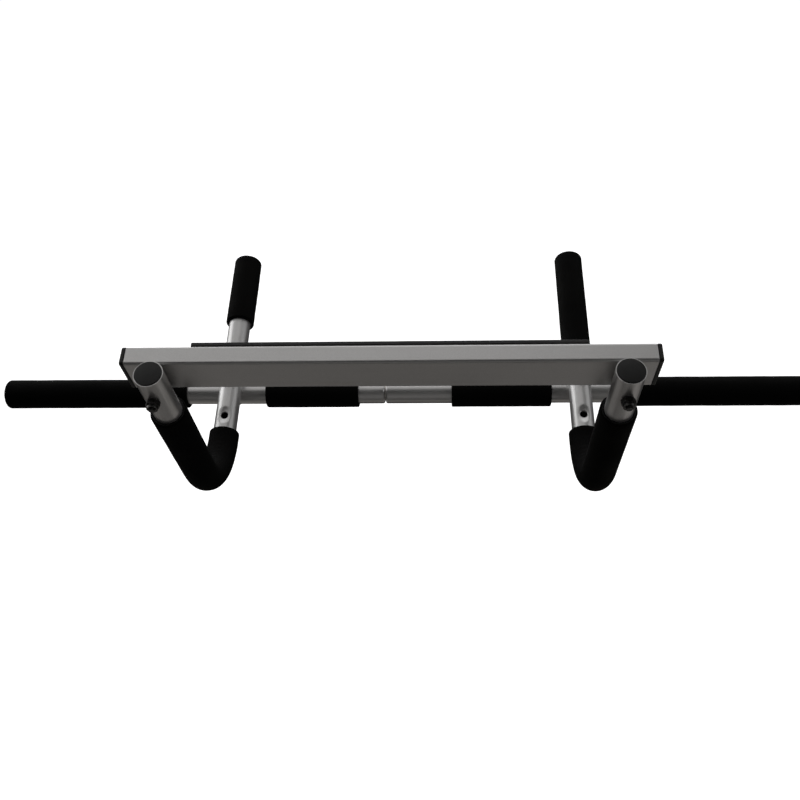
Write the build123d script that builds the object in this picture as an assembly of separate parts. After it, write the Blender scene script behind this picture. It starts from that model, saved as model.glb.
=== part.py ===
from build123d import *
from dataclasses import dataclass
import math
import os

# Doorway pull-up bar, hung by its crossbar on the trim above a door.
# Millimetres. +X runs along the bars, +Y from the crossbar towards the person, +Z up.
# The origin is the middle of the crossbar's underside, which rests on the trim.

# ---------------------------------------------------------------- driving dimensions

TUBE_R = 12.7            # one inch round tube, for both arms and both halves of the long bar
TUBE_WALL = 1.5
FIT_GAP = 0.1            # radial clearance of everything pushed into or onto a tube

# rectangular crossbar
CROSSBAR_LENGTH = 452.0
CROSSBAR_DEPTH = 18.0    # along Y
CROSSBAR_HEIGHT = 40.0   # along Z
CROSSBAR_WALL = 1.5
CROSSBAR_EDGE_R = 2.5
CROSSBAR_END_CHAMFER = 1.0
CAP_FLANGE = 3.3
CAP_EDGE_R = 1.2
CAP_PLUG_LENGTH = 16.0
CAP_PLUG_CORNER_R = 0.8
CAP_WALL = 2.0
CAP_RIB = 0.8            # how far a rib stands out from the plug
CAP_RIB_WIDTH = 1.2
CAP_RIB_FIRST = 3.0      # from the flange to the first of three ribs
CAP_RIB_PITCH = 4.5

# rubber pad on the face of the crossbar that leans on the wall
PAD_LENGTH = 340.0
PAD_HEIGHT = 38.0
PAD_THICKNESS = 3.8
PAD_EDGE_R = 1.0
TAPE_THICKNESS = 1.0
TAPE_MARGIN = 1.0

# arms: one bent tube on each side
ARM_SPACING = 400.0
ARM_TOP_ABOVE_CROSSBAR = 4.0
ARM_DROP = 249.0         # from the arm's top to the axis of its level leg
ARM_BEND_R = 72.0
ARM_REACH = 318.9        # from the axis of the upright leg to the end of the tube
SPARE_HOLE_REACH = 96.0
LONG_BAR_REACH = 143.5
PRESS_RADIUS = 25.0      # ball that presses the dimple round a bolt hole
PRESS_DEPTH = 2.5        # how far it goes below the tube's crown
PRESS_EDGE_R = 4.0       # rounding of the dimple's outer edge
HOLE_EDGE_R = 1.0        # rounding of the hole in the dimple

# foam sleeves
ARM_FOAM_R = 16.7
BAR_FOAM_R = 17.1
FOAM_LIP_R = 1.6         # rounding of an open foam end
FOAM_NOSE_R = 3.2        # rounding of a closed foam end
FOAM_END_WALL = 4.0
BEND_FOAM_TOP_DROP = 62.6    # from the arm's top to the sleeve's upper end
BEND_FOAM_REACH = 79.3
LEFT_HANDLE_FOAM = 95.5
RIGHT_HANDLE_FOAM = 135.0

# long bar: two tubes joined off centre
LONG_BAR_HALF = 467.4    # from the middle of the object to either tube end
NEST_DEPTH = 5.0         # how far an arm sits down into the long bar
JOINT_X = -21.7
JOINT_GAP = 0.5          # from a tube's rolled end to the joint plane
ROLL_R = 2.2
ROLL_MOUTH_R = 9.5       # opening left in a rolled end
END_FOAM_INNER_X = 254.0
LEFT_GRIP = (-161.0, -52.8)
RIGHT_GRIP = (55.2, 169.6)

# threaded joint inside the long bar
BUSH_LENGTH = 30.0
BUSH_SET_BACK = 3.2      # from the joint plane to the full width of the bush
STUD_R = 6.0
STUD_LENGTH = 26.0
STUD_CHAMFER = 1.0
SOCKET_DEPTH = 28.0
THREAD_GAP = 0.1


@dataclass
class Fastener:
    """Sizes of a carriage bolt and its lock nut."""
    bolt_r: float
    hole_r: float            # clearance hole
    tip_chamfer: float
    head_r: float
    head: float
    square: float            # across the neck under the head
    neck: float
    flats: float             # across the nut
    hex_chamfer: float
    bearing_r: float         # flat ring on which the nut bears
    bearing_rise: float
    nut_hex: float
    nut_height: float
    collar_r: float
    ring_r: float            # nylon ring in the nut's collar
    pocket_low: float
    pocket_high: float


QUARTER_INCH = Fastener(
    bolt_r=3.1, hole_r=3.4, tip_chamfer=0.6, head_r=7.4, head=3.4, square=6.4, neck=3.8,
    flats=11.1, hex_chamfer=0.9, bearing_r=5.3, bearing_rise=0.6, nut_hex=5.4, nut_height=7.9,
    collar_r=4.9, ring_r=4.2, pocket_low=5.0, pocket_high=7.2,
)
FIVE_SIXTEENTHS = Fastener(
    bolt_r=3.95, hole_r=4.1, tip_chamfer=0.8, head_r=9.0, head=3.6, square=8.0, neck=4.0,
    flats=12.7, hex_chamfer=1.0, bearing_r=6.1, bearing_rise=0.75, nut_hex=5.9, nut_height=8.7,
    collar_r=5.7, ring_r=5.0, pocket_low=5.5, pocket_high=7.9,
)
CROSSBAR_FASTENER = QUARTER_INCH
LONG_BAR_FASTENER = FIVE_SIXTEENTHS
BOLT_END = 2.0           # thread left showing past a nut
NUT_THREAD_GAP = 0.05    # between a bolt and its nut, and round the nylon ring
NUT_SEAT_DEPTH = 1.7     # how far a nut sits down into the dimple of an arm

# push-in plugs in the open tube ends
PLUG_FLANGE_R = 11.9     # leaves a thin rim of the tube's cut end showing
PLUG_FLANGE = 0.8        # thickness at its edge
PLUG_EDGE_R = 0.4
PLUG_DOME = 0.7          # how far the middle stands above the edge
PLUG_FLOOR = 1.2         # thickness below the tube's end
PLUG_SKIRT = 15.0
PLUG_WALL = 1.8
PLUG_RIB = 0.7           # how far a rib stands out from the skirt
PLUG_RIB_WIDTH = 1.0
PLUG_RIB_PITCH = 3.5

# ---------------------------------------------------------------- places worked out

BORE_R = TUBE_R - TUBE_WALL
SLEEVE_BORE_R = TUBE_R + FIT_GAP
ARM_X = ARM_SPACING / 2
ARM_Y = -CROSSBAR_DEPTH / 2 - TUBE_R
ARM_TOP_Z = CROSSBAR_HEIGHT + ARM_TOP_ABOVE_CROSSBAR
ARM_LEVEL_Z = ARM_TOP_Z - ARM_DROP
ARM_END_Y = ARM_Y + ARM_REACH
BOLT_Z = CROSSBAR_HEIGHT / 2
SPARE_HOLE_Y = ARM_Y + SPARE_HOLE_REACH
LONG_BAR_Y = ARM_Y + LONG_BAR_REACH
LONG_BAR_Z = ARM_LEVEL_Z - 2 * TUBE_R + NEST_DEPTH
PLUG_RISE = PLUG_FLANGE + PLUG_DOME
HANDLE_END_Y = ARM_END_Y + FOAM_END_WALL + PLUG_RISE
FOAM_END_X = LONG_BAR_HALF + FOAM_END_WALL + PLUG_RISE
SIDES = {"left": -1, "right": 1}


# ---------------------------------------------------------------- helpers

def rod(radius, start, end):
    """Solid cylinder from one point to another."""
    a = Vector(*start)
    b = Vector(*end)
    plane = Plane(origin=a, z_dir=b - a)
    return extrude(plane * Circle(radius), (b - a).length)


def turned(points, rounds=None):
    """Solid of revolution about Z, from (radius, height) corners with some rounded."""
    outline = Polyline(*[(r, 0, z) for r, z in points], close=True)
    face = make_face(outline)
    for index, radius in (rounds or {}).items():
        r, z = points[index]
        corner = face.vertices().sort_by_distance((r, 0, z))[0]
        face = fillet(corner, radius)
    return revolve(face, Axis.Z)


def along_x(shape, x, direction):
    """Turn a shape made along +Z so that it points along +X or -X from the long bar's axis."""
    place = Plane(origin=(x, LONG_BAR_Y, LONG_BAR_Z), x_dir=(0, 1, 0), z_dir=(direction, 0, 0))
    return place * shape


def along_y(shape, x, y, z, direction=1):
    """Turn a shape made along +Z so that it points along +Y or -Y from a point."""
    return Plane(origin=(x, y, z), x_dir=(1, 0, 0), z_dir=(0, direction, 0)) * shape


def rim(shape, radius):
    """Highest circular edge of a radius."""
    circles = shape.edges().filter_by(GeomType.CIRCLE)
    circles = circles.filter_by(lambda edge: math.isclose(edge.radius, radius, abs_tol=0.01))
    return circles.sort_by(Axis.Z)[-1]


def export(shape, name):
    """Write one sub-part, named for its node."""
    solids = shape.solids()
    shape = solids[0] if len(solids) == 1 else Compound(children=list(solids))
    shape.label = name
    export_step(shape, f"parts/{name}.step")


# ---------------------------------------------------------------- crossbar

def box_section(depth, height, edge_r, length):
    """Rounded rectangular bar along X, centred on the crossbar's axis."""
    plane = Plane(origin=(-length / 2, 0, CROSSBAR_HEIGHT / 2), x_dir=(0, 1, 0), z_dir=(1, 0, 0))
    return extrude(plane * RectangleRounded(depth, height, edge_r), length)


def crossbar_tube():
    """Rectangular tube with a round hole at the arm and a square hole at the wall for each bolt."""
    outer = box_section(CROSSBAR_DEPTH, CROSSBAR_HEIGHT, CROSSBAR_EDGE_R, CROSSBAR_LENGTH)
    ends = outer.faces().sort_by(Axis.X)[0].edges() + outer.faces().sort_by(Axis.X)[-1].edges()
    outer = chamfer(ends, CROSSBAR_END_CHAMFER)
    inner = box_section(
        CROSSBAR_DEPTH - 2 * CROSSBAR_WALL,
        CROSSBAR_HEIGHT - 2 * CROSSBAR_WALL,
        CROSSBAR_EDGE_R - CROSSBAR_WALL,
        CROSSBAR_LENGTH + 2,
    )
    tube = outer - inner
    square = CROSSBAR_FASTENER.square + 2 * FIT_GAP
    for side in SIDES.values():
        x = side * ARM_X
        tube -= rod(CROSSBAR_FASTENER.hole_r, (x, -CROSSBAR_DEPTH, BOLT_Z), (x, 0, BOLT_Z))
        tube -= Pos(x, CROSSBAR_DEPTH / 2, BOLT_Z) * Box(square, CROSSBAR_DEPTH / 2, square)
    return tube


def crossbar_cap(side):
    """Flanged cap with a hollow ribbed plug that grips the inside of the crossbar."""
    end_x = side * CROSSBAR_LENGTH / 2
    out = Plane(origin=(end_x, 0, CROSSBAR_HEIGHT / 2), x_dir=(0, 1, 0), z_dir=(side, 0, 0))
    into = Plane(origin=(end_x, 0, CROSSBAR_HEIGHT / 2), x_dir=(0, 1, 0), z_dir=(-side, 0, 0))
    flange = extrude(out * RectangleRounded(CROSSBAR_DEPTH, CROSSBAR_HEIGHT, CROSSBAR_EDGE_R), CAP_FLANGE)
    outer_face = flange.faces().sort_by(Axis.X)[-1 if side > 0 else 0]
    cap = fillet(outer_face.edges(), CAP_EDGE_R)
    room_y = CROSSBAR_DEPTH - 2 * CROSSBAR_WALL
    room_z = CROSSBAR_HEIGHT - 2 * CROSSBAR_WALL
    plug_y = room_y - 2 * CAP_RIB - 2 * FIT_GAP
    plug_z = room_z - 2 * CAP_RIB - 2 * FIT_GAP
    cap += extrude(into * RectangleRounded(plug_y, plug_z, CAP_PLUG_CORNER_R), CAP_PLUG_LENGTH)
    rib = RectangleRounded(room_y - 2 * FIT_GAP, room_z - 2 * FIT_GAP, CAP_PLUG_CORNER_R)
    for step in range(3):
        cap += extrude(into.offset(CAP_RIB_FIRST + CAP_RIB_PITCH * step) * rib, CAP_RIB_WIDTH)
    hollow = RectangleRounded(plug_y - 2 * CAP_WALL, plug_z - 2 * CAP_WALL, CAP_PLUG_CORNER_R)
    return cap - extrude(into * hollow, CAP_PLUG_LENGTH + 1)


def pad_tape():
    """Foam tape that holds the wall pad on."""
    y = CROSSBAR_DEPTH / 2 + TAPE_THICKNESS / 2
    size = (PAD_LENGTH - 2 * TAPE_MARGIN, TAPE_THICKNESS, PAD_HEIGHT - 2 * TAPE_MARGIN)
    return Pos(0, y, CROSSBAR_HEIGHT / 2) * Box(*size)


def wall_pad():
    """Rubber strip with rounded edges on the side that touches the wall."""
    y = CROSSBAR_DEPTH / 2 + TAPE_THICKNESS + PAD_THICKNESS / 2
    pad = Pos(0, y, CROSSBAR_HEIGHT / 2) * Box(PAD_LENGTH, PAD_THICKNESS, PAD_HEIGHT)
    return fillet(pad.faces().sort_by(Axis.Y)[-1].edges(), PAD_EDGE_R)


# ---------------------------------------------------------------- arms

def arm_path(x, start_z, end_y):
    """Centre line of an arm: down, round the bend, then level."""
    top = (x, ARM_Y, start_z)
    corner = (x, ARM_Y, ARM_LEVEL_Z)
    end = (x, end_y, ARM_LEVEL_Z)
    return FilletPolyline(top, corner, end, radius=ARM_BEND_R)


def bent_rod(radius, x, start_z, end_y):
    """Solid round rod that follows an arm's centre line."""
    section = Plane(origin=(x, ARM_Y, start_z), z_dir=(0, 0, -1)) * Circle(radius)
    return sweep(section, path=arm_path(x, start_z, end_y))


def press_ball(x, y, grow):
    """Ball that presses the top wall of an arm down round a bolt hole."""
    centre_z = ARM_LEVEL_Z + TUBE_R - PRESS_DEPTH + PRESS_RADIUS
    return Pos(x, y, centre_z) * Sphere(PRESS_RADIUS + grow)


def dimple_edges(shape, x, y):
    """Edges where the press has met the top of an arm's level leg."""
    reach = PRESS_RADIUS / 2
    low = ARM_LEVEL_Z + TUBE_R / 2
    near = shape.edges().filter_by_position(Axis.Y, y - reach, y + reach)
    near = near.filter_by_position(Axis.X, x - TUBE_R * 0.9, x + TUBE_R * 0.9)
    return near.filter_by_position(Axis.Z, low, ARM_LEVEL_Z + TUBE_R)


def arm_tube(side):
    """Bent tube with a cross bolt hole at the top and two dimpled holes in the level leg."""
    x = side * ARM_X
    outer = bent_rod(TUBE_R, x, ARM_TOP_Z, ARM_END_Y)
    inner = bent_rod(BORE_R, x, ARM_TOP_Z, ARM_END_Y)
    for y in (SPARE_HOLE_Y, LONG_BAR_Y):
        outer -= press_ball(x, y, 0)
        outer = fillet(dimple_edges(outer, x, y), PRESS_EDGE_R)
        inner -= press_ball(x, y, TUBE_WALL)
    tube = outer - inner
    cross_r = CROSSBAR_FASTENER.hole_r
    tube -= rod(cross_r, (x, ARM_Y - 2 * TUBE_R, BOLT_Z), (x, ARM_Y + 2 * TUBE_R, BOLT_Z))
    for y in (SPARE_HOLE_Y, LONG_BAR_Y):
        low = ARM_LEVEL_Z - 2 * TUBE_R
        high = ARM_LEVEL_Z + 2 * TUBE_R
        tube -= rod(LONG_BAR_FASTENER.hole_r, (x, y, low), (x, y, high))
        tube = fillet(rim(tube, LONG_BAR_FASTENER.hole_r), HOLE_EDGE_R)
    return tube


def end_plug():
    """Push-in plug along +Z: domed flange on the tube's end, over a hollow ribbed skirt."""
    grip_r = BORE_R - FIT_GAP
    skirt_r = grip_r - PLUG_RIB
    dome_ball_r = (PLUG_FLANGE_R**2 + PLUG_DOME**2) / (2 * PLUG_DOME)
    dome = Pos(0, 0, PLUG_RISE - dome_ball_r) * Sphere(dome_ball_r)
    plug = dome & rod(PLUG_FLANGE_R, (0, 0, 0), (0, 0, 2 * PLUG_RISE))
    plug = fillet(rim(plug, PLUG_FLANGE_R), PLUG_EDGE_R)
    plug += rod(skirt_r, (0, 0, -PLUG_SKIRT), (0, 0, 0))
    for step in range(3):
        z = -PLUG_RIB_PITCH * (step + 1)
        plug += rod(grip_r, (0, 0, z - PLUG_RIB_WIDTH / 2), (0, 0, z + PLUG_RIB_WIDTH / 2))
    return plug - rod(skirt_r - PLUG_WALL, (0, 0, -PLUG_SKIRT - 1), (0, 0, -PLUG_FLOOR))


def bend_foam(side):
    """Foam sleeve over the bend, which keeps the arm off the door frame."""
    x = side * ARM_X
    start_z = ARM_TOP_Z - BEND_FOAM_TOP_DROP
    end_y = ARM_Y + BEND_FOAM_REACH
    sleeve = bent_rod(ARM_FOAM_R, x, start_z, end_y)
    rims = [sleeve.faces().sort_by(Axis.Z)[-1].edges()[0], sleeve.faces().sort_by(Axis.Y)[-1].edges()[0]]
    sleeve = fillet(rims, FOAM_LIP_R)
    return sleeve - bent_rod(SLEEVE_BORE_R, x, start_z, end_y)


def closed_foam(radius, length, end_gap):
    """Foam grip along +Z with an open end at 0 and a closed, rounded end at its length."""
    grip = turned([(0, 0), (radius, 0), (radius, length), (0, length)], {1: FOAM_LIP_R, 2: FOAM_NOSE_R})
    return grip - rod(SLEEVE_BORE_R, (0, 0, -1), (0, 0, length - end_gap))


def open_foam(radius, length):
    """Foam sleeve along +Z, open at both ends."""
    grip = turned([(0, 0), (radius, 0), (radius, length), (0, length)], {1: FOAM_LIP_R, 2: FOAM_LIP_R})
    return grip - rod(SLEEVE_BORE_R, (0, 0, -1), (0, 0, length + 1))


def handle_foam(side, length):
    """Foam grip over the free end of an arm."""
    grip = closed_foam(ARM_FOAM_R, length, FOAM_END_WALL)
    return along_y(grip, side * ARM_X, HANDLE_END_Y - length, ARM_LEVEL_Z)


# ---------------------------------------------------------------- long bar

def long_bar_tube(side):
    """Half of the long bar: rolled in at the joint, dented under the arm, holed for its bolt."""
    length = LONG_BAR_HALF - side * JOINT_X - JOINT_GAP
    roll_in = ROLL_R - TUBE_WALL
    outer = turned([(0, 0), (TUBE_R, 0), (TUBE_R, length), (0, length)], {1: ROLL_R})
    inner = turned([(0, TUBE_WALL), (BORE_R, TUBE_WALL), (BORE_R, length + 1), (0, length + 1)], {1: roll_in})
    joint = JOINT_X + side * JOINT_GAP
    outer = along_x(outer, joint, side)
    inner = along_x(inner, joint, side)
    x = side * ARM_X
    arm_low = (x, LONG_BAR_Y - 2 * TUBE_R, ARM_LEVEL_Z)
    arm_high = (x, LONG_BAR_Y + 2 * TUBE_R, ARM_LEVEL_Z)
    outer -= rod(TUBE_R + FIT_GAP, arm_low, arm_high)
    inner -= rod(TUBE_R + FIT_GAP + TUBE_WALL, arm_low, arm_high)
    tube = outer - inner
    mouth = along_x(rod(ROLL_MOUTH_R, (0, 0, -1), (0, 0, 2 * ROLL_R)), joint, side)
    high = (x, LONG_BAR_Y, LONG_BAR_Z + 2 * TUBE_R)
    bolt_hole = rod(LONG_BAR_FASTENER.hole_r, (x, LONG_BAR_Y, LONG_BAR_Z), high)
    square = LONG_BAR_FASTENER.square + 2 * FIT_GAP
    neck_hole = Pos(x, LONG_BAR_Y, LONG_BAR_Z - TUBE_R) * Box(square, square, TUBE_R)
    return tube - mouth - bolt_hole - neck_hole


def joint_bush():
    """Steel bush along +Z, fixed in a tube's end: its neck fills the rolled mouth up to the joint."""
    body_r = BORE_R - FIT_GAP
    neck_r = ROLL_MOUTH_R - FIT_GAP
    corners = [
        (0, 0),
        (neck_r, 0),
        (neck_r, BUSH_SET_BACK),
        (body_r, BUSH_SET_BACK),
        (body_r, BUSH_LENGTH),
        (0, BUSH_LENGTH),
    ]
    return turned(corners)


def joint_stud():
    """Bush of the left half, with the threaded stud that screws into the right half."""
    stud = rod(STUD_R, (0, 0, 0), (0, 0, -STUD_LENGTH))
    tip = stud.faces().sort_by(Axis.Z)[0].edges()
    return along_x(joint_bush() + chamfer(tip, STUD_CHAMFER), JOINT_X, -1)


def joint_socket():
    """Bush of the right half, bored for the stud."""
    bore = rod(STUD_R + THREAD_GAP, (0, 0, -1), (0, 0, SOCKET_DEPTH))
    return along_x(joint_bush() - bore, JOINT_X, 1)


def bar_sleeve(span):
    """Open foam grip on the long bar between two places."""
    start, end = span
    return along_x(open_foam(BAR_FOAM_R, end - start), start, 1)


def bar_end_foam(side):
    """Closed foam grip over an end of the long bar."""
    length = FOAM_END_X - END_FOAM_INNER_X
    return along_x(closed_foam(BAR_FOAM_R, length, FOAM_END_WALL), side * END_FOAM_INNER_X, side)


# ---------------------------------------------------------------- fasteners

def nut_hexagon(size):
    """Hexagonal prism along +Z with its corners turned off at both ends."""
    height = size.nut_hex
    prism = extrude(RegularPolygon(size.flats / 2, 6, major_radius=False), height)
    corner_r = size.flats / math.sqrt(3)
    corners = [
        (0, 0),
        (size.bearing_r, 0),
        (corner_r, size.bearing_rise),
        (corner_r, height - size.hex_chamfer),
        (size.flats / 2, height),
        (0, height),
    ]
    return prism & turned(corners)


def shank(size, length):
    """Bolt shank from 0 down to its chamfered end."""
    body = rod(size.bolt_r, (0, 0, 0), (0, 0, -length))
    return chamfer(body.faces().sort_by(Axis.Z)[0].edges(), size.tip_chamfer)


def carriage_bolt(size, length):
    """Carriage bolt: a low domed head on 0, a square neck and a round shank going down."""
    ball_r = (size.head_r**2 + size.head**2) / (2 * size.head)
    dome = Pos(0, 0, size.head - ball_r) * Sphere(ball_r)
    head = dome & rod(size.head_r, (0, 0, 0), (0, 0, size.head + 1))
    neck = Pos(0, 0, -size.neck / 2) * Box(size.square, size.square, size.neck)
    return head + neck + shank(size, length)


def lock_nut(size):
    """Nylon-insert nut standing on 0: hexagon, then a round collar with a pocket for the ring."""
    nut = nut_hexagon(size) + rod(size.collar_r, (0, 0, size.nut_hex / 2), (0, 0, size.nut_height))
    nut = nut - rod(size.bolt_r + NUT_THREAD_GAP, (0, 0, -1), (0, 0, size.nut_height + 1))
    return nut - rod(size.ring_r, (0, 0, size.pocket_low), (0, 0, size.pocket_high))


def nut_ring(size):
    """Nylon ring that fills the pocket of a lock nut."""
    low = (0, 0, size.pocket_low + NUT_THREAD_GAP)
    high = (0, 0, size.pocket_high - NUT_THREAD_GAP)
    ring = rod(size.ring_r - NUT_THREAD_GAP, low, high)
    return ring - rod(size.bolt_r + NUT_THREAD_GAP, (0, 0, 0), (0, 0, size.nut_height))


def at_crossbar(shape, y, direction):
    """A copy of a +Z shape at each arm's crossbar bolt, pointing along +Y or -Y."""
    return Compound(children=[along_y(shape, s * ARM_X, y, BOLT_Z, direction) for s in SIDES.values()])


def at_long_bar(shape, z, direction):
    """A copy of a +Z shape at each arm's long-bar bolt, pointing up or down."""
    places = [Plane(origin=(s * ARM_X, LONG_BAR_Y, z), z_dir=(0, 0, direction)) for s in SIDES.values()]
    return Compound(children=[place * shape for place in places])


# ---------------------------------------------------------------- build

os.makedirs("parts", exist_ok=True)

export(crossbar_tube(), "crossbar_tube")
export(pad_tape(), "wall_pad_tape")
export(wall_pad(), "wall_pad")

handle_lengths = {"left": LEFT_HANDLE_FOAM, "right": RIGHT_HANDLE_FOAM}
for name, side in SIDES.items():
    arm_x = side * ARM_X
    export(crossbar_cap(side), f"crossbar_cap_{name}")
    export(arm_tube(side), f"arm_tube_{name}")
    export(Pos(arm_x, ARM_Y, ARM_TOP_Z) * end_plug(), f"arm_top_plug_{name}")
    export(bend_foam(side), f"bend_foam_{name}")
    export(along_y(end_plug(), arm_x, ARM_END_Y, ARM_LEVEL_Z), f"handle_end_plug_{name}")
    export(handle_foam(side, handle_lengths[name]), f"handle_foam_{name}")
    export(long_bar_tube(side), f"long_bar_tube_{name}")
    export(along_x(end_plug(), side * LONG_BAR_HALF, side), f"long_bar_end_plug_{name}")
    export(bar_end_foam(side), f"long_bar_end_foam_{name}")

export(bar_sleeve(LEFT_GRIP), "centre_grip_left")
export(bar_sleeve(RIGHT_GRIP), "centre_grip_right")
export(joint_stud(), "joint_stud")
export(joint_socket(), "joint_socket")

arm_rear_y = ARM_Y - TUBE_R
small = CROSSBAR_FASTENER
crossbar_grip = CROSSBAR_DEPTH / 2 - arm_rear_y + small.nut_height + BOLT_END
export(at_crossbar(carriage_bolt(small, crossbar_grip), CROSSBAR_DEPTH / 2, 1), "crossbar_bolts")
export(at_crossbar(lock_nut(small), arm_rear_y, -1), "crossbar_nuts")
export(at_crossbar(nut_ring(small), arm_rear_y, -1), "crossbar_nut_rings")

large = LONG_BAR_FASTENER
nut_seat_z = ARM_LEVEL_Z + TUBE_R - NUT_SEAT_DEPTH
bar_low_z = LONG_BAR_Z - TUBE_R
bar_grip = nut_seat_z - bar_low_z + large.nut_height + BOLT_END
export(at_long_bar(carriage_bolt(large, bar_grip), bar_low_z, -1), "long_bar_bolts")
export(at_long_bar(lock_nut(large), nut_seat_z, 1), "long_bar_nuts")
export(at_long_bar(nut_ring(large), nut_seat_z, 1), "long_bar_nut_rings")
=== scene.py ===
import math

import bmesh
import bpy
from mathutils import Matrix, Vector, noise


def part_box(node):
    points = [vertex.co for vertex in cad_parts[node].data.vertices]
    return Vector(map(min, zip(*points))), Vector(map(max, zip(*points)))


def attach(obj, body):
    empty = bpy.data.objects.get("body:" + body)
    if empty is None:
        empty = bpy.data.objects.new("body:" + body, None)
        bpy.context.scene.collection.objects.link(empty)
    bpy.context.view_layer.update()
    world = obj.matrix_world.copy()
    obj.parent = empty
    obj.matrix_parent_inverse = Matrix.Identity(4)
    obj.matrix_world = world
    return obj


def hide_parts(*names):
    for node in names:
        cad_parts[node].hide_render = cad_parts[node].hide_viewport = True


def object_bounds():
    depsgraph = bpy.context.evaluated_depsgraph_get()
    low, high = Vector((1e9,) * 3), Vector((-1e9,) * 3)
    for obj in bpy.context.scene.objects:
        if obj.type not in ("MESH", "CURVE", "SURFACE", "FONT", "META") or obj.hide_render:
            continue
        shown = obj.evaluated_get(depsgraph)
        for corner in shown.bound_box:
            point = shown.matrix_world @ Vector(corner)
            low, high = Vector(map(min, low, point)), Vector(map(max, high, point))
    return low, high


# Doorway pull-up bar. Metres: +X runs along the bars, +Y from the crossbar
# towards the person, +Z up, from the middle of the crossbar's underside.

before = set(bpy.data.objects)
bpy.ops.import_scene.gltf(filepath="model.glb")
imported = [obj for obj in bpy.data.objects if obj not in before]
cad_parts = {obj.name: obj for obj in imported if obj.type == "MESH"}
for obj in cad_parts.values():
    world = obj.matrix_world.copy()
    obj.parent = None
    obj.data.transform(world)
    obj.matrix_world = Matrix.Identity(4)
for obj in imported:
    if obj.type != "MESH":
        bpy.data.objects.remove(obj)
cad_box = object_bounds()

MM = 0.001
BODY = "root"
SIDES = ("left", "right")

# foam sleeves
SLEEVE_BORE_R = 12.8 * MM
ARM_BEND_R = 72 * MM        # of the arm's axis
LIP_R = 1.6 * MM            # rounding of an open foam end
NOSE_R = 3.2 * MM           # rounding of a closed foam end
NOSE_CROWN = 0.5 * MM       # drop from the middle of a closed end to its edge
NOSE_SHARES = (0.8, 0.6, 0.4, 0.2, 0.02)    # rings across a closed end, as shares of its radius
END_WALL = 4 * MM           # foam between a tube's plug and the closed end
RING_STEP = 1.5 * MM        # between two rings of a sleeve's skin
BORE_STEP = 8 * RING_STEP   # between two rings of its bore, which nobody sees
ROUND_STEPS = 6             # rings in a rounded edge
SPOKES = 72                 # points round a sleeve or a bolt
SWELL_SIZE = 22 * MM
SWELL_DEPTH = 0.14 * MM
RIPPLE_SIZE = 5 * MM
RIPPLE_DEPTH = 0.06 * MM
CREASE_PITCH = 8.5 * MM     # creases inside the bend
CREASE_DEPTH = 0.35 * MM
CREASE_DRIFT = 1.5          # how unevenly they are spaced, in radians

# wall pad and its tape
PAD_CORNER_R = 1.5 * MM
PAD_EDGE_R = 1.0 * MM
PAD_CROWN = 0.25 * MM
PAD_WAVE = 0.12 * MM
PAD_STEP = 2 * MM
PAD_ROWS = 18
TAPE_WAVE = 0.25 * MM

# bolts
THREAD_LENGTH = 14 * MM
THREAD_RINGS = 8            # rings in one turn of the thread
HEAD_RIM = 0.5 * MM         # height of a bolt head's upright rim
HEAD_BREAK = 0.2 * HEAD_RIM     # chamfer of the rim's lower edge
DOME_SHARES = (0.02, 0.15, 0.3, 0.45, 0.6, 0.75, 0.87, 0.95, 1.0)  # rings over the dome
NECK_CORNER = 0.65          # turned corner of the square neck, as a share of its width

SHARP_ANGLE = math.radians(38)  # edges sharper than this aren't smoothed


# ---------------------------------------------------------------- mesh helpers

def loft(name, loops, joined=False):
    """Closed mesh through (zone, points) loops. A strip takes the zone of the loop it starts from."""
    mesh = bmesh.new()
    rings = [[mesh.verts.new(point) for point in points] for zone, points in loops]
    zones = [zone for zone, points in loops]
    count = len(rings)
    strips = count if joined else count - 1
    for index in range(strips):
        ring = rings[index]
        after = rings[(index + 1) % count]
        for here in range(len(ring)):
            there = (here + 1) % len(ring)
            face = mesh.faces.new((ring[here], ring[there], after[there], after[here]))
            face.material_index = zones[index]
    if not joined:
        mesh.faces.new(rings[0]).material_index = zones[0]
        mesh.faces.new(rings[-1]).material_index = zones[-1]
    bmesh.ops.recalc_face_normals(mesh, faces=mesh.faces)
    for face in mesh.faces:
        face.smooth = True
    for edge in mesh.edges:
        edge.smooth = edge.calc_face_angle(0) < SHARP_ANGLE
    data = bpy.data.meshes.new(name)
    mesh.to_mesh(data)
    mesh.free()
    piece = bpy.data.objects.new(name, data)
    bpy.context.collection.objects.link(piece)
    return piece


def join(name, pieces):
    """One object made of several that are separate shells."""
    mesh = bmesh.new()
    for piece in pieces:
        mesh.from_mesh(piece.data)
        bpy.data.objects.remove(piece)
    data = bpy.data.meshes.new(name)
    mesh.to_mesh(data)
    mesh.free()
    joined = bpy.data.objects.new(name, data)
    bpy.context.collection.objects.link(joined)
    return joined


def place_piece(piece, node, finishes):
    """Rides a piece on the body, in place of its CAD node, with its finishes."""
    for finish in finishes:
        piece.data.materials.append(finish)
    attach(piece, BODY)
    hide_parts(node)


def turns(count):
    """Angles evenly round a circle."""
    return [2 * math.pi * index / count for index in range(count)]


def spaced(start, end, step):
    """Numbers evenly from start to end, about a step apart."""
    count = max(1, round(abs(end - start) / step))
    return [start + (end - start) * index / count for index in range(count + 1)]


def straight(start, ahead, up):
    """Gives the point at a distance along a straight axis, a radius and an angle from up."""
    side = ahead.cross(up)

    def point(distance, radius, angle):
        spoke = up * math.cos(angle) + side * math.sin(angle)
        return start + ahead * distance + spoke * radius

    return point


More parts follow.
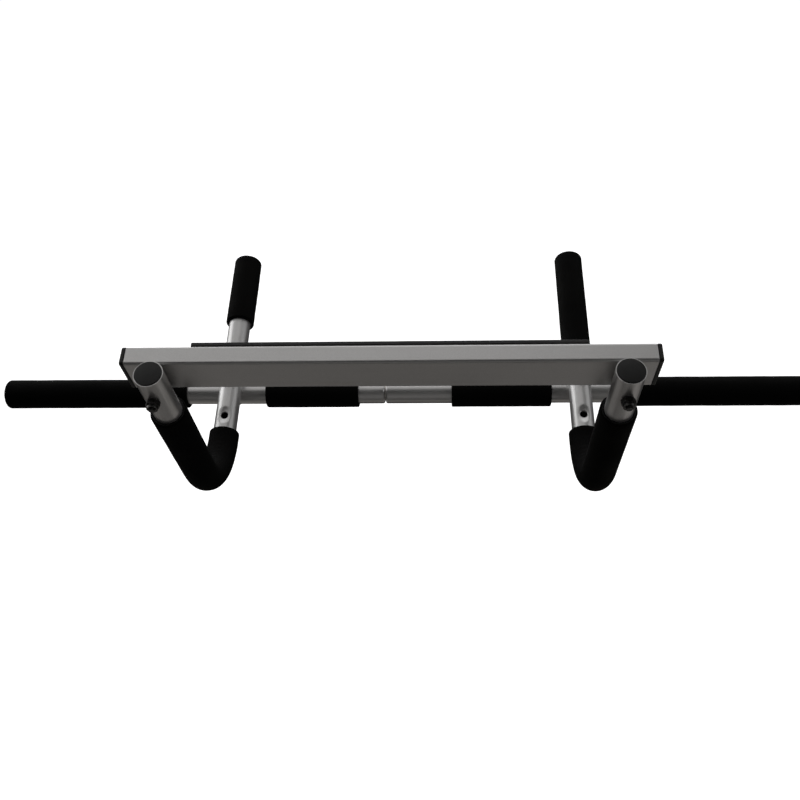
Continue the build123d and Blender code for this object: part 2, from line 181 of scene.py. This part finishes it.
def bent(x, axis_y, start_z, level_z):
    """The same along an arm's axis: down, round the bend and level. Angle 0 is outside the bend."""
    centre = Vector((x, axis_y + ARM_BEND_R, level_z + ARM_BEND_R))
    drop = start_z - centre.z
    turn = ARM_BEND_R * math.pi / 2
    side = Vector((1, 0, 0))

    def point(distance, radius, angle):
        in_bend = min(max(distance, drop), drop + turn)
        swing = (in_bend - drop) / ARM_BEND_R
        out = Vector((0, -math.cos(swing), -math.sin(swing)))
        ahead = Vector((0, math.sin(swing), -math.cos(swing)))
        middle = centre + out * ARM_BEND_R + ahead * (distance - in_bend)
        return middle + (out * math.cos(angle) + side * math.sin(angle)) * radius

    return point


# ---------------------------------------------------------------- foam

SKIN = 0     # moulded outside of a sleeve
CUT = 1      # sliced end and bore


def foam_relief(point):
    """How far the skin lies below the sleeve's full radius: slow swells and small ripples."""
    swell = SWELL_DEPTH * (noise.noise(point / SWELL_SIZE) - 1)
    ripple = RIPPLE_DEPTH * (noise.noise(point / RIPPLE_SIZE) - 1)
    return swell + ripple


def rounding(distance, radius, size, from_angle, to_angle):
    """(distance, radius) places round an edge whose centre is given."""
    places = []
    for step in range(ROUND_STEPS + 1):
        angle = math.radians(from_angle + (to_angle - from_angle) * step / ROUND_STEPS)
        places.append((distance + size * math.cos(angle), radius + size * math.sin(angle)))
    return places


def sleeve_outline(length, outer_r, closed):
    """(zone, distance, radius) of each ring: over the cut end, along the skin, round and back."""
    ring_face = [(CUT, 0, SLEEVE_BORE_R), (CUT, 0, (SLEEVE_BORE_R + outer_r) / 2)]
    first_lip = [(SKIN, *place) for place in rounding(LIP_R, outer_r - LIP_R, LIP_R, 180, 90)]
    far_r = NOSE_R if closed else LIP_R
    skin = [(SKIN, distance, outer_r) for distance in spaced(LIP_R, length - far_r, RING_STEP)[1:-1]]
    last_lip = [(SKIN, *place) for place in rounding(length - far_r, outer_r - far_r, far_r, 90, 0)]
    if closed:
        rim = outer_r - NOSE_R
        nose = [(SKIN, length, rim * share) for share in NOSE_SHARES]
        floor = length - END_WALL
        cavity = [(CUT, floor, NOSE_SHARES[-1] * SLEEVE_BORE_R), (CUT, floor, SLEEVE_BORE_R)]
        bore = [(CUT, distance, SLEEVE_BORE_R) for distance in spaced(floor, 0, BORE_STEP)[1:-1]]
        return cavity + bore + ring_face + first_lip + skin + last_lip + nose
    end_face = [(CUT, length, (SLEEVE_BORE_R + outer_r) / 2), (CUT, length, SLEEVE_BORE_R)]
    bore = [(CUT, distance, SLEEVE_BORE_R) for distance in spaced(length, 0, BORE_STEP)[1:-1]]
    last_lip[-1] = (CUT, *last_lip[-1][1:])
    return ring_face + first_lip + skin + last_lip + end_face + bore


def sleeve(name, point, length, outer_r, closed, crease=None):
    """Foam sleeve along an axis: its skin swells and ripples a little, and its closed end is crowned."""
    loops = []
    for zone, distance, radius in sleeve_outline(length, outer_r, closed):
        points = []
        for angle in turns(SPOKES):
            low = 0
            if zone == SKIN:
                low = foam_relief(point(distance, radius, angle)) * min(1, radius / outer_r)
            if crease and radius > SLEEVE_BORE_R + LIP_R:
                low -= crease(distance, angle)
            if closed and distance > length - NOSE_R:
                sunk = NOSE_CROWN * (radius / outer_r) ** 2
                points.append(point(distance - sunk, radius + low, angle))
            else:
                points.append(point(distance, radius + low, angle))
        loops.append((zone, points))
    return loft(name, loops, joined=not closed)


def bend_crease(drop):
    """Shallow creases where the foam is squeezed inside the bend, fading out round the sleeve."""
    turn = ARM_BEND_R * math.pi / 2

    def depth(distance, angle):
        along = (distance - drop) / turn
        if not 0 < along < 1:
            return 0
        inside = max(0, -math.cos(angle)) ** 4
        spot = Vector((distance / SWELL_SIZE, 2 * math.sin(angle), drop / SWELL_SIZE))
        drift = CREASE_DRIFT * noise.noise(spot)
        wave = 0.5 + 0.5 * math.cos(2 * math.pi * distance / CREASE_PITCH + drift)
        return CREASE_DEPTH * inside * math.sin(math.pi * along) * wave ** 3

    return depth


def add_foam(node, piece, finishes):
    """Puts a finished sleeve in place of its CAD solid."""
    place_piece(piece, node, finishes)


def bend_sleeve(side, finishes):
    """Sleeve over the bend of an arm."""
    node = f"bend_foam_{side}"
    low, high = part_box(node)
    radius = (high.x - low.x) / 2
    x = (low.x + high.x) / 2
    axis_y = low.y + radius
    level_z = low.z + radius
    drop = high.z - (level_z + ARM_BEND_R)
    reach = high.y - (axis_y + ARM_BEND_R)
    length = drop + ARM_BEND_R * math.pi / 2 + reach
    point = bent(x, axis_y, high.z, level_z)
    piece = sleeve(f"bend_sleeve_{side}", point, length, radius, False, bend_crease(drop))
    add_foam(node, piece, finishes)


def handle_grip(side, finishes):
    """Closed grip over the free end of an arm."""
    node = f"handle_foam_{side}"
    low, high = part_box(node)
    radius = (high.x - low.x) / 2
    start = Vector(((low.x + high.x) / 2, low.y, (low.z + high.z) / 2))
    point = straight(start, Vector((0, 1, 0)), Vector((0, 0, 1)))
    piece = sleeve(f"handle_grip_{side}", point, high.y - low.y, radius, True)
    add_foam(node, piece, finishes)


def bar_grip(node, name, closed_side, finishes):
    """Grip on the long bar: open at both ends, or closed at the end that points left or right."""
    low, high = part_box(node)
    radius = (high.z - low.z) / 2
    ahead = -1 if closed_side == "left" else 1
    start_x = high.x if ahead < 0 else low.x
    start = Vector((start_x, (low.y + high.y) / 2, (low.z + high.z) / 2))
    point = straight(start, Vector((ahead, 0, 0)), Vector((0, 0, 1)))
    piece = sleeve(name, point, high.x - low.x, radius, closed_side is not None)
    add_foam(node, piece, finishes)


# ---------------------------------------------------------------- wall pad

def inset(distance, size):
    """How far a rounded edge has drawn in at a distance from the end."""
    left = max(0, size - distance)
    return size - math.sqrt(size ** 2 - left ** 2)


def pad_section(x, end_gap, low, high):
    """Section of the pad across X: flat against the tape, crowned and round-edged at the wall."""
    draw_in = inset(end_gap, PAD_CORNER_R)
    thin = inset(end_gap, PAD_EDGE_R)
    bottom = low.z + draw_in
    top = high.z - draw_in
    middle = (bottom + top) / 2
    half = (top - bottom) / 2
    face_y = high.y - thin
    rows = [(low.y, bottom), (low.y, top)]
    for y, z in rounding(face_y - PAD_EDGE_R, top - PAD_EDGE_R, PAD_EDGE_R, 90, 0):
        rows.append((y, z))
    for row in range(1, PAD_ROWS):
        share = row / PAD_ROWS
        rows.append((face_y, top - PAD_EDGE_R - share * (top - bottom - 2 * PAD_EDGE_R)))
    for y, z in rounding(face_y - PAD_EDGE_R, bottom + PAD_EDGE_R, PAD_EDGE_R, 0, -90):
        rows.append((y, z))
    points = []
    for y, z in rows:
        share = (y - low.y) / (high.y - low.y)
        crown = PAD_CROWN * ((z - middle) / half) ** 2
        wave = PAD_WAVE * (1 - noise.noise(Vector((x, y, z)) / SWELL_SIZE)) / 2
        points.append(Vector((x, y - share * (crown + wave), z)))
    return points


def wall_pad(finish):
    """Rubber strip on the crossbar's face that leans on the wall."""
    low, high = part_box("wall_pad")
    ends = spaced(0, PAD_CORNER_R, PAD_CORNER_R / ROUND_STEPS)
    body = spaced(PAD_CORNER_R, high.x - low.x - PAD_CORNER_R, PAD_STEP)[1:-1]
    gaps = ends + body + [high.x - low.x - end for end in reversed(ends)]
    loops = []
    for gap in gaps:
        end_gap = min(gap, high.x - low.x - gap)
        loops.append((0, pad_section(low.x + gap, end_gap, low, high)))
    piece = loft("wall_pad_strip", loops)
    place_piece(piece, "wall_pad", [finish])


def pad_tape(finish):
    """Foam tape behind the pad, with hand-cut edges that wander a little."""
    low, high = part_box("wall_pad_tape")
    middle_y = (low.y + high.y) / 2
    pinch = TAPE_WAVE / 2
    loops = []
    for x in spaced(low.x, high.x, PAD_STEP):
        top = high.z - TAPE_WAVE * (1 - noise.noise(Vector((x / SWELL_SIZE, 1, 0)))) / 2
        bottom = low.z + TAPE_WAVE * (1 - noise.noise(Vector((x / SWELL_SIZE, 5, 0)))) / 2
        points = [
            Vector((x, low.y, bottom)),
            Vector((x, middle_y, bottom + pinch)),
            Vector((x, high.y, bottom)),
            Vector((x, high.y, top)),
            Vector((x, middle_y, top - pinch)),
            Vector((x, low.y, top)),
        ]
        loops.append((0, points))
    piece = loft("wall_pad_tape_strip", loops)
    place_piece(piece, "wall_pad_tape", [finish])


# ---------------------------------------------------------------- bolts

class Bolt:
    """Sizes of a carriage bolt, in millimetres."""

    def __init__(self, shank_r, pitch, thread_depth, tip_chamfer, head_r, head, square, neck):
        self.shank_r = shank_r * MM
        self.pitch = pitch * MM
        self.thread_depth = thread_depth * MM
        self.tip_chamfer = tip_chamfer * MM
        self.head_r = head_r * MM
        self.head = head * MM
        self.square = square * MM
        self.neck = neck * MM


QUARTER_INCH = Bolt(
    shank_r=3.1, pitch=1.27, thread_depth=0.5, tip_chamfer=0.6,
    head_r=7.4, head=3.4, square=6.4, neck=3.8,
)
FIVE_SIXTEENTHS = Bolt(
    shank_r=3.95, pitch=1.41, thread_depth=0.6, tip_chamfer=0.8,
    head_r=9.0, head=3.6, square=8.0, neck=4.0,
)


def round_bar(radius):
    """The same radius at every angle."""
    return lambda angle: radius


def square_bar(size):
    """Radius of a square neck at an angle, with its corners turned off."""

    def radius(angle):
        off_flat = (angle + math.pi / 4) % (math.pi / 2) - math.pi / 4
        return min(size / 2 / math.cos(off_flat), NECK_CORNER * size)

    return radius


def thread(bolt, distance, tip):
    """Radius round a bolt at a place on its thread, which runs out at the chamfered tip."""
    chamfer_r = bolt.shank_r - max(0, bolt.tip_chamfer - (tip - distance))

    def radius(angle):
        turn = (distance / bolt.pitch - angle / (2 * math.pi)) % 1
        groove = bolt.thread_depth * (1 - abs(2 * turn - 1))
        return min(bolt.shank_r - groove, chamfer_r)

    return radius


def bolt_rings(bolt, length):
    """Bolt from the crown of its domed head to its tip, with its head's underside at 0."""
    dome_rise = bolt.head - HEAD_RIM
    ball_r = (bolt.head_r ** 2 + dome_rise ** 2) / (2 * dome_rise)
    rings = []
    for share in DOME_SHARES:
        radius = bolt.head_r * share
        drop = ball_r - math.sqrt(ball_r ** 2 - radius ** 2)
        rings.append((-bolt.head + drop, round_bar(radius)))
    rings.append((-HEAD_BREAK, round_bar(bolt.head_r)))
    rings.append((0, round_bar(bolt.head_r - HEAD_BREAK)))
    rings.append((0, square_bar(bolt.square)))
    rings.append((bolt.neck, square_bar(bolt.square)))
    rings.append((bolt.neck, round_bar(bolt.shank_r)))
    thread_start = length - THREAD_LENGTH
    rings.append((thread_start, round_bar(bolt.shank_r)))
    for distance in spaced(thread_start, length, bolt.pitch / THREAD_RINGS)[1:]:
        rings.append((distance, thread(bolt, distance, length)))
    return rings


def carriage_bolt(bolt, head, ahead, length):
    """One bolt, with the underside of its head at a point and its tip ahead."""
    point = straight(head, ahead, Vector((1, 0, 0)))
    loops = []
    for distance, radius in bolt_rings(bolt, length):
        loops.append((0, [point(distance, radius(angle), angle) for angle in turns(SPOKES)]))
    return loft("bolt", loops)


def bolt_pair(bolt, node, name, ahead, finish):
    """A bolt at each arm in place of the node's, with both tips ahead."""
    low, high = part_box(node)
    middle = (low + high) / 2
    reach = abs((high - low).dot(ahead)) - bolt.head
    back = middle - ahead * (reach + bolt.head) / 2
    pair = []
    for x in (low.x + bolt.head_r, high.x - bolt.head_r):
        head = Vector((x, back.y, back.z)) + ahead * bolt.head
        pair.append(carriage_bolt(bolt, head, ahead, reach))
    place_piece(join(name, pair), node, [finish])


# ---------------------------------------------------------------- finishes

def grey(level, warmth=0.0):
    """Linear colour of a grey, a little warm or cool."""
    return (level * (1 + warmth), level, level * (1 - warmth), 1)


NOISE_RANGE = (0.3, 0.7)        # most of a soft noise lies in this range
EDGE_RANGE = (0.99, 0.88)       # cosine between flat and rounded normals: off an edge, on it
BEVEL_SAMPLES = 6


class Finish:
    """A procedural material being put together. Its patterns are in metres on the object."""

    def __init__(self, name, sockets):
        self.material = bpy.data.materials.new(name)
        self.material.use_nodes = True
        self.tree = self.material.node_tree
        self.shader = self.tree.nodes["Principled BSDF"]
        self.metres = self.tree.nodes.new("ShaderNodeTexCoord").outputs["Object"]
        for socket, value in sockets.items():
            self.shader.inputs[socket].default_value = value

    def add(self, kind, **inputs):
        """A node with numbers or links in its sockets."""
        node = self.tree.nodes.new(kind)
        for name, value in inputs.items():
            self.feed(node.inputs[name], value)
        return node

    def feed(self, socket, value):
        """Puts a number, a colour or another node's output into a socket."""
        if isinstance(value, bpy.types.NodeSocket):
            self.tree.links.new(value, socket)
        else:
            socket.default_value = value

    def clouds(self, size, detail=2.0, stretch=(1, 1, 1)):
        """Soft noise with features of about this size."""
        mapping = self.add("ShaderNodeMapping", Vector=self.metres, Scale=stretch)
        place = mapping.outputs["Vector"]
        node = self.add("ShaderNodeTexNoise", Vector=place, Scale=1 / size, Detail=detail)
        return node.outputs["Fac"]

    def cells(self, size):
        """Distance to the nearest of many scattered points, in cells."""
        node = self.add("ShaderNodeTexVoronoi", Vector=self.metres, Scale=1 / size)
        return node.outputs["Distance"]

    def flakes(self, size):
        """A different random grey in each small cell."""
        node = self.add("ShaderNodeTexVoronoi", Vector=self.metres, Scale=1 / size)
        parts = self.add("ShaderNodeSeparateColor", Color=node.outputs["Color"])
        return parts.outputs["Red"]

    def scaled(self, value, low, high, to_low, to_high):
        """A value moved from one range to another."""
        node = self.add("ShaderNodeMapRange", Value=value)
        ends = {"From Min": low, "From Max": high, "To Min": to_low, "To Max": to_high}
        for name, end in ends.items():
            node.inputs[name].default_value = end
        return node.outputs["Result"]

    def spread(self, value, to_low, to_high):
        """A soft noise stretched to a range."""
        return self.scaled(value, *NOISE_RANGE, to_low, to_high)

    def times(self, first, second):
        """Product of two values."""
        node = self.tree.nodes.new("ShaderNodeMath")
        node.operation = "MULTIPLY"
        self.feed(node.inputs[0], first)
        self.feed(node.inputs[1], second)
        return node.outputs["Value"]

    def blend(self, factor, first, second):
        """Colour between two, by a factor."""
        node = self.tree.nodes.new("ShaderNodeMix")
        node.data_type = "RGBA"
        self.feed(node.inputs["Factor"], factor)
        colour_a, colour_b = [socket for socket in node.inputs if socket.type == "RGBA"]
        self.feed(colour_a, first)
        self.feed(colour_b, second)
        return next(socket for socket in node.outputs if socket.type == "RGBA")

    def worn_and_highlit_edges(self, reach, patches):
        """1 on edges and 0 elsewhere, broken up by a pattern: edges worn by use, which some finishes
        also lighten as a painted highlight.
        """
        rounded = self.add("ShaderNodeBevel", Radius=reach)
        rounded.samples = BEVEL_SAMPLES
        flat = self.tree.nodes.new("ShaderNodeNewGeometry")
        dot = self.tree.nodes.new("ShaderNodeVectorMath")
        dot.operation = "DOT_PRODUCT"
        self.feed(dot.inputs[0], rounded.outputs["Normal"])
        self.feed(dot.inputs[1], flat.outputs["Normal"])
        edge = self.scaled(dot.outputs["Value"], *EDGE_RANGE, 0, 1)
        return self.times(edge, patches)

    def relief(self, layers):
        """Bumps of (pattern, height in metres), one on another."""
        normal = None
        for pattern, height in layers:
            node = self.add("ShaderNodeBump", Height=pattern, Distance=height)
            if normal is not None:
                self.feed(node.inputs["Normal"], normal)
            normal = node.outputs["Normal"]
        self.feed(self.shader.inputs["Normal"], normal)

    def colour(self, value):
        """Sets the base colour, or the pattern that makes it."""
        self.feed(self.shader.inputs["Base Color"], value)

    def roughness(self, value):
        """Sets the roughness, or the pattern that makes it."""
        self.feed(self.shader.inputs["Roughness"], value)


# linear greys of the silver paint
SMUDGED_PAINT = 0.43
CLEAN_PAINT = 0.50
FLAKE = 0.72
# the edge grey is partly bare metal and partly a painted highlight on rims and hole edges
BARE_AND_HIGHLIT_EDGE = 0.88

# how far the rubs in the paint are drawn out along X, Y and Z
ALONG_BARS = (0.01, 1, 1)
ALONG_ARMS = (1, 0.03, 0.03)


def silver_paint(name, grain, shade, metallic):
    """Silver metallic paint: fine flakes, orange peel, faint rubs along the tube, and edges worn through
    to the metal and lightened further as a painted highlight.
    """
    finish = Finish(name, {"Metallic": metallic, "Specular IOR Level": 0.5, "Coat Weight": 0.12})
    smudges = finish.clouds(45 * MM, 4)
    rubs = finish.clouds(0.7 * MM, 3, grain)
    flakes = finish.flakes(0.45 * MM)
    smudged = grey(SMUDGED_PAINT * shade, 0.012)
    clean = grey(CLEAN_PAINT * shade, 0.008)
    body = finish.blend(smudges, smudged, clean)
    sparkle = finish.blend(finish.scaled(flakes, 0, 1, 0, 0.22), body, grey(FLAKE))
    worn_and_highlit = finish.scaled(finish.clouds(6 * MM, 4), 0.35, 0.65, 0.3, 1)
    # edges painted a light grey: worn metal, and a painted highlight along rims and hole edges
    bare_and_highlit = finish.worn_and_highlit_edges(0.8 * MM, worn_and_highlit)
    finish.colour(finish.blend(bare_and_highlit, sparkle, grey(BARE_AND_HIGHLIT_EDGE, 0.01)))
    finish.roughness(finish.scaled(finish.times(rubs, smudges), 0.1, 0.42, 0.30, 0.44))
    finish.relief([
        (finish.clouds(2.2 * MM, 1), 0.022 * MM),
        (flakes, 0.004 * MM),
        (rubs, 0.006 * MM),
    ])
    return finish.material


def foam_skin():
    """Outside of the foam: closed fine pores, almost black, dull, a little dusty."""
    finish = Finish("foam_skin", {"Specular IOR Level": 0.04})
    patches = finish.clouds(30 * MM, 4)
    pores = finish.scaled(finish.cells(0.55 * MM), 0.05, 0.5, 0, 1)
    base = finish.blend(patches, grey(0.0014, 0.05), grey(0.0030, 0.03))
    dust = finish.scaled(finish.clouds(1.1 * MM, 5), 0.66, 0.78, 0, 0.5)
    finish.colour(finish.blend(dust, base, grey(0.012, 0.03)))
    finish.roughness(finish.spread(patches, 0.74, 0.9))
    finish.relief([
        (finish.clouds(3.5 * MM, 2), 0.10 * MM),
        (pores, 0.05 * MM),
        (finish.clouds(0.25 * MM, 2), 0.02 * MM),
    ])
    return finish.material


def foam_cut():
    """Sliced end of the foam: open pores of two sizes, the larger ones painted darker at their middles
    as a painted shadow in the pits.
    """
    finish = Finish("foam_cut", {"Specular IOR Level": 0.2})
    open_pores_and_shade = finish.scaled(finish.cells(0.9 * MM), 0.1, 0.55, 0, 1)
    small_pores = finish.scaled(finish.cells(0.4 * MM), 0.1, 0.5, 0, 1)
    # the pits of the larger pores are painted darker: painted shade where the relief sinks
    base = finish.blend(open_pores_and_shade, grey(0.002), grey(0.010, 0.03))
    finish.colour(base)
    finish.roughness(finish.scaled(small_pores, 0, 1, 0.95, 0.8))
    finish.relief([(open_pores_and_shade, 0.25 * MM), (small_pores, 0.10 * MM)])
    return finish.material


def pad_rubber():
    """Dense black rubber with a fine leathery grain."""
    finish = Finish("pad_rubber", {"Specular IOR Level": 0.35})
    grain = finish.scaled(finish.cells(1.1 * MM), 0.05, 0.6, 0, 1)
    patches = finish.clouds(25 * MM, 4)
    finish.colour(finish.blend(patches, grey(0.010, 0.02), grey(0.017, 0.02)))
    finish.roughness(finish.spread(patches, 0.5, 0.68))
    finish.relief([(grain, 0.08 * MM), (finish.clouds(0.3 * MM, 2), 0.02 * MM)])
    return finish.material


def foam_tape():
    """Off-white foam tape, greyed by handling."""
    finish = Finish("foam_tape", {"Specular IOR Level": 0.3})
    patches = finish.clouds(9 * MM, 4)
    pores = finish.cells(0.35 * MM)
    finish.colour(finish.blend(patches, grey(0.22, 0.03), grey(0.38, 0.04)))
    finish.roughness(finish.scaled(pores, 0, 0.6, 0.9, 0.7))
    finish.relief([(pores, 0.06 * MM)])
    return finish.material


def black_plastic():
    """Moulded black plastic: spark-eroded grain; its edges are painted a lighter grey, a painted sheen
    for a little polish.
    """
    finish = Finish("black_plastic", {"Specular IOR Level": 0.25})
    grain = finish.clouds(0.6 * MM, 3)
    patches = finish.clouds(8 * MM, 4)
    base = finish.blend(patches, grey(0.007, 0.01), grey(0.012, 0.01))
    # edges painted a lighter grey: a painted sheen, while the roughness stays the same there
    worn_and_highlit = finish.worn_and_highlit_edges(0.5 * MM, finish.scaled(patches, 0.35, 0.65, 0.1, 0.7))
    finish.colour(finish.blend(worn_and_highlit, base, grey(0.05)))
    finish.roughness(finish.spread(grain, 0.40, 0.56))
    finish.relief([(grain, 0.03 * MM), (finish.clouds(7 * MM, 1), 0.05 * MM)])
    return finish.material


def black_steel():
    """Black-oxide steel, oily, bright where its edges are worn."""
    finish = Finish("black_steel", {"Metallic": 0.85, "Specular IOR Level": 0.5})
    patches = finish.clouds(3 * MM, 5)
    base = finish.blend(patches, grey(0.018), grey(0.045, 0.04))
    worn = finish.worn_and_highlit_edges(0.35 * MM, finish.scaled(patches, 0.4, 0.6, 0.1, 0.9))
    finish.colour(finish.blend(worn, base, grey(0.32, 0.03)))
    finish.roughness(finish.spread(patches, 0.25, 0.45))
    finish.relief([(finish.clouds(0.5 * MM, 4), 0.012 * MM)])
    return finish.material


def zinc_steel():
    """Zinc-plated steel with a cloudy, faintly yellow film."""
    finish = Finish("zinc_steel", {"Metallic": 1.0})
    film = finish.clouds(5 * MM, 5)
    finish.colour(finish.blend(film, grey(0.42, 0.03), grey(0.55, 0.08)))
    finish.roughness(finish.spread(film, 0.28, 0.46))
    finish.relief([(finish.clouds(0.4 * MM, 3, (1, 0.2, 0.2)), 0.008 * MM)])
    return finish.material


def nylon():
    """Dark nylon of a lock nut's ring."""
    finish = Finish("nylon", {"Specular IOR Level": 0.5})
    flow = finish.clouds(1.5 * MM, 3)
    finish.colour(finish.blend(flow, grey(0.07), grey(0.11, 0.01)))
    finish.roughness(finish.spread(flow, 0.35, 0.5))
    finish.relief([(flow, 0.02 * MM)])
    return finish.material


def paint_node(node, finish):
    """Gives a CAD node a better finish."""
    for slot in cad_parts[node].material_slots:
        slot.material = finish


# ---------------------------------------------------------------- object

# One silver paint in three copies. The long bars' copy is painted lighter (shade 1.1): painted light
# that brightens bars the lamps reach less. The arms' copy is a little darker.
crossbar_paint = silver_paint("silver_paint_crossbar", ALONG_BARS, shade=1.0, metallic=0.7)
bar_paint = silver_paint("silver_paint_bars", ALONG_BARS, shade=1.1, metallic=0.8)
arm_paint = silver_paint("silver_paint_arms", ALONG_ARMS, shade=0.9, metallic=0.7)
plastic = black_plastic()
steel = black_steel()
zinc = zinc_steel()
ring_nylon = nylon()
foam = [foam_skin(), foam_cut()]

wall_pad(pad_rubber())
pad_tape(foam_tape())
bolt_pair(QUARTER_INCH, "crossbar_bolts", "crossbar_carriage_bolts", Vector((0, -1, 0)), steel)
bolt_pair(FIVE_SIXTEENTHS, "long_bar_bolts", "long_bar_carriage_bolts", Vector((0, 0, 1)), steel)
paint_node("crossbar_tube", crossbar_paint)
for hand in SIDES:
    bend_sleeve(hand, foam)
    handle_grip(hand, foam)
    bar_grip(f"long_bar_end_foam_{hand}", f"bar_end_grip_{hand}", hand, foam)
    bar_grip(f"centre_grip_{hand}", f"bar_centre_grip_{hand}", None, foam)
    paint_node(f"arm_tube_{hand}", arm_paint)
    paint_node(f"long_bar_tube_{hand}", bar_paint)
    for part in ("crossbar_cap", "arm_top_plug", "handle_end_plug", "long_bar_end_plug"):
        paint_node(f"{part}_{hand}", plastic)
for part in ("crossbar_nuts", "long_bar_nuts"):
    paint_node(part, steel)
for part in ("joint_stud", "joint_socket"):
    paint_node(part, zinc)
for part in ("crossbar_nut_rings", "long_bar_nut_rings"):
    paint_node(part, ring_nylon)


# ---------------------------------------------------------------- camera

CAMERA_PLACE = Vector((0.0507, -0.4134, 0.6596))
CAMERA_AZIMUTH = math.radians(6.03)
CAMERA_ELEVATION = math.radians(59.18)
CAMERA_ROLL = math.radians(-5.43)
CAMERA_LENS = 39.86
CAMERA_SENSOR = 36.0


def add_camera():
    """Camera above and in front of the crossbar, tilted a little to one side."""
    data = bpy.data.cameras.new("camera")
    data.sensor_width = CAMERA_SENSOR
    data.lens = CAMERA_LENS
    data.clip_start = 0.01
    camera = bpy.data.objects.new("camera", data)
    bpy.context.collection.objects.link(camera)
    heading = Matrix.Rotation(CAMERA_AZIMUTH, 4, "Z")
    tilt = Matrix.Rotation(math.pi / 2 - CAMERA_ELEVATION, 4, "X")
    roll = Matrix.Rotation(CAMERA_ROLL, 4, "Z")
    camera.matrix_world = Matrix.Translation(CAMERA_PLACE) @ heading @ tilt @ roll
    bpy.context.scene.camera = camera


# ---------------------------------------------------------------- studio

FLOOR_DROP = 1.4         # below the object's lowest point
FLOOR_WIDTH = 10.0
BACKDROP_R = 7.0
ROOM_GREY = grey(0.014, 0.03)


def pale_finish(name, level, glow):
    """Pale matt surface that glows softly, with the faintest mottling."""
    finish = Finish(name, {"Roughness": 0.95, "Specular IOR Level": 0.1})
    mottle = finish.clouds(0.4, 2)
    finish.colour(finish.blend(mottle, grey(level), grey(level * 1.03)))
    finish.shader.inputs["Emission Color"].default_value = grey(1.0)
    finish.shader.inputs["Emission Strength"].default_value = glow
    return finish.material


def keep_off_object(thing):
    """Seen by the camera, but neither lights nor mirrors in the object."""
    thing.visible_diffuse = False
    thing.visible_glossy = False
    thing.visible_transmission = False
    thing.visible_shadow = False


def add_floor():
    """Plain pale floor well below the object, which hangs from a door."""
    mesh = bmesh.new()
    bmesh.ops.create_grid(mesh, x_segments=8, y_segments=8, size=FLOOR_WIDTH / 2)
    data = bpy.data.meshes.new("floor")
    mesh.to_mesh(data)
    mesh.free()
    floor = bpy.data.objects.new("floor", data)
    floor.location.z = cad_box[0].z - FLOOR_DROP
    floor.data.materials.append(pale_finish("floor", 0.5, 1.0))
    bpy.context.collection.objects.link(floor)
    keep_off_object(floor)


def add_backdrop():
    """Plain pale shell round the studio."""
    mesh = bmesh.new()
    bmesh.ops.create_icosphere(mesh, subdivisions=4, radius=BACKDROP_R)
    for face in mesh.faces:
        face.smooth = True
    data = bpy.data.meshes.new("backdrop")
    mesh.to_mesh(data)
    mesh.free()
    backdrop = bpy.data.objects.new("backdrop", data)
    backdrop.data.materials.append(pale_finish("backdrop", 0.5, 1.0))
    bpy.context.collection.objects.link(backdrop)
    keep_off_object(backdrop)


def add_panel(name, place, size, watts, warmth=0.0):
    """Soft rectangular light that faces the middle of the object."""
    data = bpy.data.lights.new(name, "AREA")
    data.shape = "RECTANGLE"
    data.size, data.size_y = size
    data.energy = watts
    data.color = grey(1.0, warmth)[:3]
    panel = bpy.data.objects.new(name, data)
    bpy.context.collection.objects.link(panel)
    middle = (cad_box[0] + cad_box[1]) / 2
    panel.location = Vector(place)
    panel.rotation_euler = (middle - panel.location).to_track_quat("-Z", "Y").to_euler()
    panel.visible_camera = False


def add_room():
    """Dim even light from all round."""
    world = bpy.data.worlds.new("room")
    world.use_nodes = True
    world.node_tree.nodes["Background"].inputs["Color"].default_value = ROOM_GREY
    bpy.context.scene.world = world


add_camera()
add_floor()
add_backdrop()
add_room()

# Windows and pale walls that the silver tubes mirror: place and size in metres, watts, warmth.
add_panel("ceiling", (-0.35, 0.9, 1.5), (2.4, 1.2), 5.8, 0.01)
add_panel("window_left", (-1.8, 1.0, -0.05), (1.2, 1.4), 12.5)
add_panel("wall_left", (-1.5, 0.9, 1.0), (1.4, 1.0), 2.6)
add_panel("wall_right", (1.7, 0.9, 0.4), (1.4, 1.4), 4.2)
add_panel("wall_behind", (0.0, 1.9, 0.15), (2.6, 1.7), 21.0)
add_panel("wall_high", (0.0, 1.8, 1.25), (2.6, 0.6), 2.5)
add_panel("window_behind", (-0.6, 1.9, -1.0), (1.2, 0.6), 7.0)
add_panel("wall_front", (0.3, -1.9, 0.8), (2.6, 1.6), 1.8, 0.02)
add_panel("wall_front_low", (0.0, -2.0, -0.15), (2.2, 0.8), 0.9, 0.02)
add_panel("lamp_right", (1.6, 0.1, 0.9), (0.4, 0.4), 2.5)
add_panel("floor_front", (0.25, -0.95, -1.25), (3.2, 0.8), 1.6, 0.05)
add_panel("floor_left", (-0.7, -0.2, -1.25), (0.8, 0.8), 0.5, 0.05)
add_panel("floor_right", (0.75, -0.25, -1.25), (0.8, 0.8), 0.55, 0.05)

bpy.context.scene.view_settings.view_transform = "Standard"
